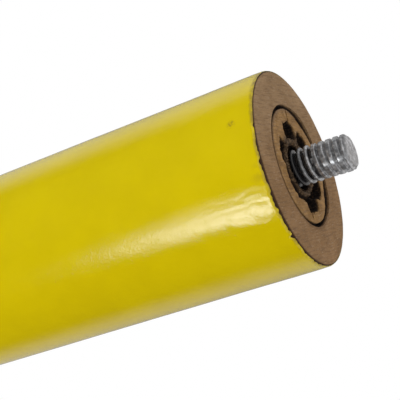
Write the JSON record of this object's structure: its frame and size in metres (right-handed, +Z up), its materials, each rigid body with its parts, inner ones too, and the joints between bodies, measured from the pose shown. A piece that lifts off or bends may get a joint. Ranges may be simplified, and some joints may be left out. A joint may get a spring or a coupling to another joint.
{
  "type": "delineator post",
  "caption": "Straight round wooden marker pole in a thick gloss yellow coat, with reflective bands, a rain cap and a threaded stud in its bare end-grain foot.",
  "frame": {"origin": "centre of the sawn foot face, on the post's axis", "axes": "+Z up the post from its foot face, the stud points down along -Z, +X across one of the drive-tooth pits"},
  "size_m": [0.0364, 0.0364, 0.7223],
  "materials": {
    "bare_wood": "rough sawn end grain, unsealed",
    "yellow_coat": "thick gloss enamel with fine orange peel",
    "zinc_steel": "zinc plated, worn and dirty",
    "reflective_sheet": "white prismatic retroreflective sheet",
    "cap_plastic": "black flexible vinyl"
  },
  "bodies": {
    "root": {"wood_core": "bare_wood", "yellow_coat": "yellow_coat", "hanger_bolt": "zinc_steel", "upper_reflective_band": "reflective_sheet", "lower_reflective_band": "reflective_sheet", "top_cap": "cap_plastic"}
  },
  "joints": []
}
